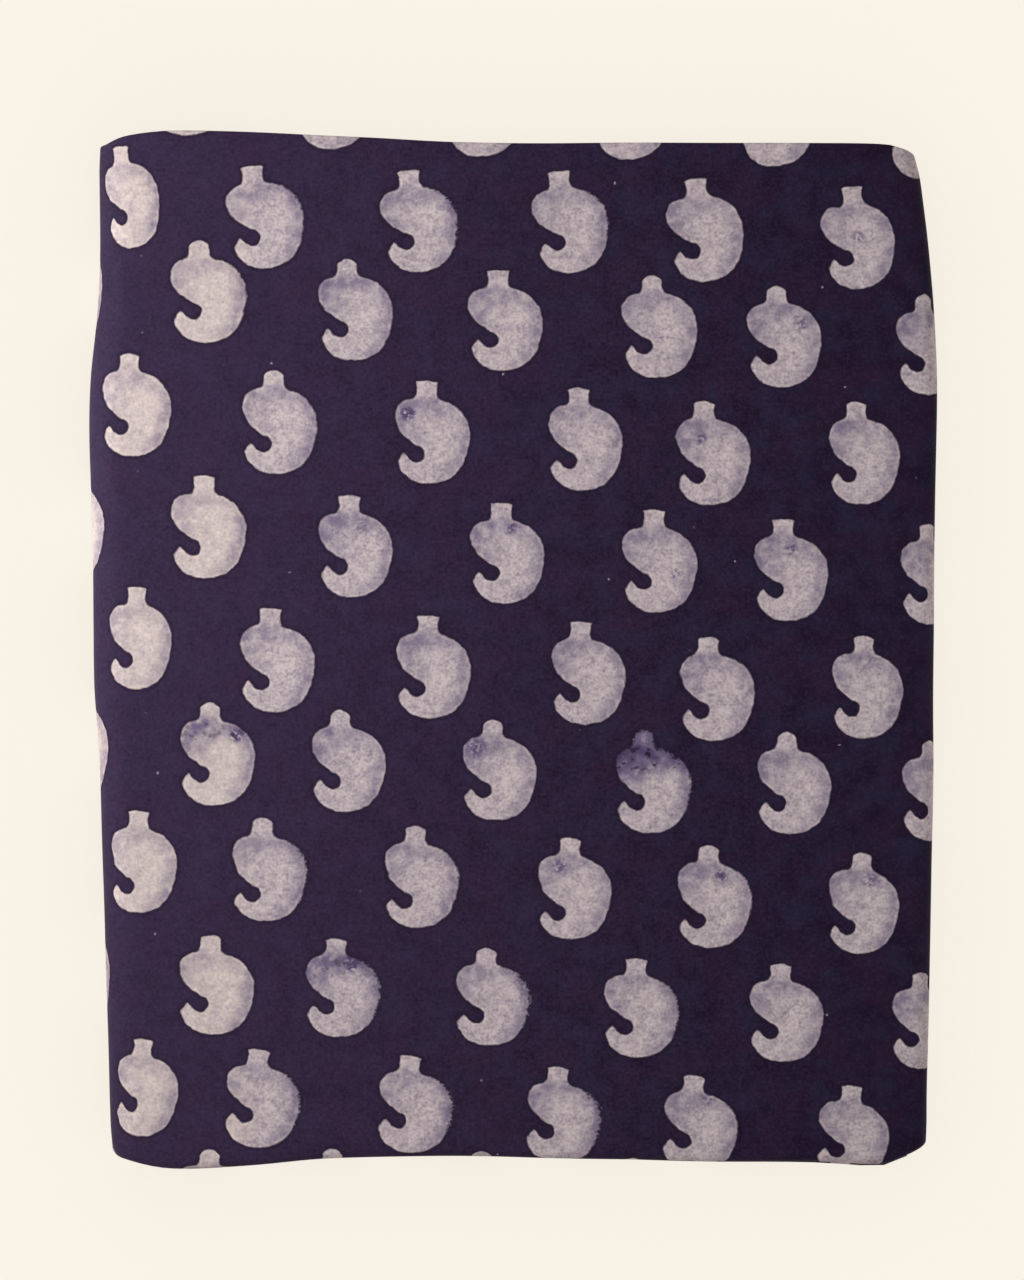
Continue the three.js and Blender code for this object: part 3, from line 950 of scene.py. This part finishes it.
def painted_crease_shade(at):
    """How dark the painted shade of the fine pressed creases is."""
    p, q = at
    sway = noise(at, CREASE_SHADE["sway length"], seed=10.0, detail=1.0) - 0.5
    sway = sway * CREASE_SHADE["sway"]
    shade = 0.0
    for line in CREASE_SHADE_LINES:
        (p0, q0), (p1, q1) = line["ends"]
        length = math.hypot(p1 - p0, q1 - q0)
        right, up = (p1 - p0) / length, (q1 - q0) / length
        along = (p - p0) * right + (q - q0) * up
        aside = ((p - p0) * up - (q - q0) * right + sway).size()
        start, end = (length * share for share in CREASE_SHADE["fading"])
        ends = (along - length / 2).size().fall(start, end)
        shade = aside.fall(0.0, CREASE_SHADE["width"]) * ends * line["dark"] + shade
    return shade


# Lint: one place for a fleck in each square of this spacing, most of them without one
FLECKS = {"spacing": 37, "edge": (0.2, 0.5), "ragged": 0.9, "ragged size": 0.8, "share": 0.7}
FLECKS_CHOSEN = (0.5, 0.9)


def lint(at):
    """Rare small pale flecks."""
    tree = at[0].tree
    spacing = FLECKS["spacing"]
    cells = tree.nodes.new("ShaderNodeTexVoronoi")
    cells.voronoi_dimensions = "2D"
    cells.inputs["Scale"].default_value = 1.0
    tree.links.new(texture_place(at, spacing, spacing), cells.inputs["Vector"])
    away = Field(tree, cells.outputs["Distance"]) * spacing
    ragged = noise(at, FLECKS["ragged size"], seed=9.0, detail=0.0) - 0.5
    kind = tree.nodes.new("ShaderNodeSeparateColor")
    tree.links.new(cells.outputs["Color"], kind.inputs[0])
    chosen = Field(tree, kind.outputs[0]).rise(*FLECKS_CHOSEN)
    return (away + ragged * FLECKS["ragged"]).fall(*FLECKS["edge"]) * chosen


# The ground: its clouds and its wine-coloured patches, its lighter grain and weave, a painted
# sheen that lightens it towards the left, and the dark rim round each motif
CLOUDS = {"size": 9.0, "seed": 3.0, "detail": 3.0, "edge": (0.28, 0.72)}
WINE = {"size": 16.0, "seed": 8.0, "detail": 2.0, "edge": (0.45, 0.65)}
WINE_SHARE = 0.65
GRAIN_AND_LEFT_SHEEN = {"edge": (-220, 190), "share": 0.5, "grain": 0.75, "weave": 0.02}
DARK_RIM = {"edge": (0.1, 1.8), "share": 0.5}


def ground_colour(at, distance, grain, weave):
    """The dyed ground: clouded, a little wine-coloured in places, and lighter to the left with
    a painted sheen.
    """
    clouds = patchy(at, CLOUDS)
    ground = blend_colours(clouds, shader_colour(GROUND_DARK), shader_colour(GROUND_LIGHT))
    wine = patchy(at, WINE) * WINE_SHARE
    ground = blend_colours(wine, ground, shader_colour(GROUND_WINE))
    # Painted sheen: the ground gets lighter towards the left, where the key lamp stands
    grain_and_sheen = at[0].fall(*GRAIN_AND_LEFT_SHEEN["edge"]) * GRAIN_AND_LEFT_SHEEN["share"]
    grain_and_sheen = grain_and_sheen + grain * GRAIN_AND_LEFT_SHEEN["grain"] + weave * GRAIN_AND_LEFT_SHEEN["weave"]
    ground = blend_colours(grain_and_sheen.higher_of(0.0), ground, shader_colour(GROUND_GRAIN_AND_SHEEN))
    rim = distance.fall(*DARK_RIM["edge"]) * DARK_RIM["share"]
    ground = blend_colours(rim, ground, shader_colour(GROUND_DARK))
    return blend_colours(lint(at) * FLECKS["share"], ground, shader_colour(LINT))


# Unevenness of the cotton, from fine to coarse, and how it shows in the bare cotton and
# in the ground. Left of full dye the bare cotton is creamier, and less mottled.
FINE = {"size": 1.0, "seed": 1.0, "detail": 0.0}
COARSE = {"size": 2.0, "seed": 1.5, "detail": 2.0}
BLOTCH = {"size": 4.0, "seed": 2.0, "detail": 3.0}
MOTTLE = {"fine": 0.9, "coarse": 1.3, "blotch": 0.5, "weave": 0.03}
GRAIN = {"fine": 0.6, "coarse": 0.6}
FULL_DYE = (-93, -84)
MOTTLE_SHARE = {"cream": 0.55, "grey": 1.0}
SHADE_ALL_OVER = 0.3

# Half the width of the paste's soft edge, and how much a crack adds to it
SOFT_EDGE = {"even": 0.34, "cracked": 0.6}

# How much of the motifs shows on the back of the cloth
BACK_SHOWS = 0.35
CLOTH_ROUGHNESS = {"even": 0.7, "weave": 0.06}
BUMP = {"height": 0.06, "strength": 0.3, "coarse": 2.0}


def cotton_material():
    """Indigo-dyed cotton with resist-printed motifs."""
    material = bpy.data.materials.new("dyed_cotton")
    material.use_nodes = True
    tree = material.node_tree
    at = pair_from(tree, "flat")
    s, t = pair_from(tree, "motif")
    look = dict(zip(LOOK, four_values(tree, "look")))
    look["drop"] = one_value(tree, "drop")
    printed = one_value(tree, "printed_face")

    weave = weave_height(at)
    fine, coarse, blotch = (
        noise(at, one["size"], seed=one["seed"], detail=one["detail"])
        for one in (FINE, COARSE, BLOTCH)
    )
    fine = fine - 0.5
    coarse = coarse - 0.5
    mottle = fine * MOTTLE["fine"] + coarse * MOTTLE["coarse"]
    mottle = mottle + (blotch - 0.5) * MOTTLE["blotch"] + weave * MOTTLE["weave"]
    grain = fine * GRAIN["fine"] + coarse * GRAIN["coarse"]
    dyed = at[0].rise(*FULL_DYE)

    distance, cracked = printed_outline(at, s, t, look)
    crept = crept_dye(s, t, distance, cracked, look["creep"], blotch) + stained(at, blotch)
    bare_colour = blend_colours(dyed, shader_colour(BARE_CREAM), shader_colour(BARE_GREY))
    more_mottle = MOTTLE_SHARE["grey"] - MOTTLE_SHARE["cream"]
    shade = mottle * (dyed * more_mottle + MOTTLE_SHARE["cream"])
    # The fine pressed creases darken the bare cotton with painted shade
    shade = shade + SHADE_ALL_OVER + painted_crease_shade(at)
    bare_colour = blend_colours(shade, bare_colour, shader_colour(BARE_SHADE))
    bare_colour = blend_colours(crept, bare_colour, shader_colour(BARE_CREPT))
    bare_colour = blend_colours(crept - 1.0, bare_colour, shader_colour(BARE_SOAKED))
    ground = ground_colour(at, distance, grain, weave)

    soft = cracked * SOFT_EDGE["cracked"] + SOFT_EDGE["even"]
    bare = distance.fall(soft * -1, soft)
    bare = bare * (1 - broken_paste(at, s, t, look["creep"]) * BROKEN_PASTE["share"])
    share = bare * (printed * (1 - BACK_SHOWS) + BACK_SHOWS)
    roughness = CLOTH_ROUGHNESS["even"] + weave * CLOTH_ROUGHNESS["weave"]

    shader = tree.nodes["Principled BSDF"]
    plug(blend_colours(share, ground, bare_colour), shader.inputs["Base Color"])
    plug(roughness, shader.inputs["Roughness"])
    shader.inputs["Specular IOR Level"].default_value = 0.05
    shader.inputs["Sheen Weight"].default_value = 0.03
    shader.inputs["Sheen Roughness"].default_value = 0.5
    bump = tree.nodes.new("ShaderNodeBump")
    bump.inputs["Strength"].default_value = BUMP["strength"]
    bump.inputs["Distance"].default_value = BUMP["height"] * MM
    plug(weave + coarse * BUMP["coarse"], bump.inputs["Height"])
    tree.links.new(bump.outputs[0], shader.inputs["Normal"])
    return material


# The picture: pixels to a millimetre, and the place on the cloth under its middle
PICTURE_HEIGHT = 1280
PIXELS_TO_MM = 3.0
PICTURE_MIDDLE = (-0.5, 2.8)
LENS = 300
SENSOR = 36


def add_camera(top):
    """A camera that looks straight down on the bundle."""
    data = bpy.data.cameras.new("camera")
    data.lens = LENS
    data.sensor_fit = "VERTICAL"
    data.sensor_width = SENSOR
    data.sensor_height = SENSOR
    camera = bpy.data.objects.new("camera", data)
    seen_height = PICTURE_HEIGHT / PIXELS_TO_MM
    above = seen_height * LENS / SENSOR
    camera.location = Vector((*PICTURE_MIDDLE, top + above)) * MM
    bpy.context.scene.collection.objects.link(camera)
    bpy.context.scene.camera = camera


# The floor, with its size in metres. It sends back this share of its colour, and glows
# by this much.
FLOOR_COLOUR = (249, 243, 232)
FLOOR_SIZE = 14.0
FLOOR_SHARE = 0.25
FLOOR_GLOW = 0.865


def add_floor():
    """A plain pale floor that lights itself for the most part, as a light table does."""
    bpy.ops.mesh.primitive_plane_add(size=FLOOR_SIZE)
    floor = bpy.context.object
    floor.name = "floor"
    material = bpy.data.materials.new("pale_floor")
    material.use_nodes = True
    shader = material.node_tree.nodes["Principled BSDF"]
    colour = shader_colour(FLOOR_COLOUR)
    sent_back = (*(v * FLOOR_SHARE for v in colour[:3]), 1.0)
    shader.inputs["Base Color"].default_value = sent_back
    shader.inputs["Roughness"].default_value = 1.0
    shader.inputs["Specular IOR Level"].default_value = 0.0
    shader.inputs["Emission Color"].default_value = colour
    shader.inputs["Emission Strength"].default_value = FLOOR_GLOW
    floor.data.materials.append(material)


def add_area_light(name, place, aim, size, power, receivers):
    """A soft rectangular light, in millimetres and watts, that falls on the cloth alone."""
    data = bpy.data.lights.new(name, "AREA")
    data.shape = "RECTANGLE"
    data.size = size[0] * MM
    data.size_y = size[1] * MM
    data.energy = power
    light = bpy.data.objects.new(name, data)
    light.location = Vector(place) * MM
    direction = Vector(aim) - Vector(place)
    light.rotation_euler = direction.to_track_quat("-Z", "Y").to_euler()
    light.light_linking.receiver_collection = receivers
    bpy.context.scene.collection.objects.link(light)


DOME_COLOUR = (1.0, 0.985, 0.96, 1.0)
DOME_STRENGTH = 0.55


def add_dome():
    """Even light from all round."""
    world = bpy.data.worlds.new("dome")
    world.use_nodes = True
    background = world.node_tree.nodes["Background"]
    background.inputs["Color"].default_value = DOME_COLOUR
    background.inputs["Strength"].default_value = DOME_STRENGTH
    bpy.context.scene.world = world


cloth = bpy.data.objects.new("printed_cloth", cloth_mesh())
bpy.context.scene.collection.objects.link(cloth)
cloth.data.materials.append(cotton_material())
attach(cloth, "root")
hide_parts("folded_cloth")
add_floor()

lit = bpy.data.collections.new("lit_by_lamps")
lit.objects.link(cloth)
top_height = CAD_BOX[1][2] / MM
add_dome()
add_area_light(
    "key", place=(-500, 150, 550), aim=(0, 0, top_height), size=(300, 300), power=4.0,
    receivers=lit,
)
add_area_light(
    "left strip", place=(-330, 70, 10), aim=(-130, 70, 10), size=(20, 300), power=0.5,
    receivers=lit,
)
add_area_light(
    "right strip", place=(330, 0, 30), aim=(130, 0, 10), size=(20, 420), power=0.15,
    receivers=lit,
)
add_camera(top_height)
bpy.context.scene.view_settings.view_transform = "Standard"
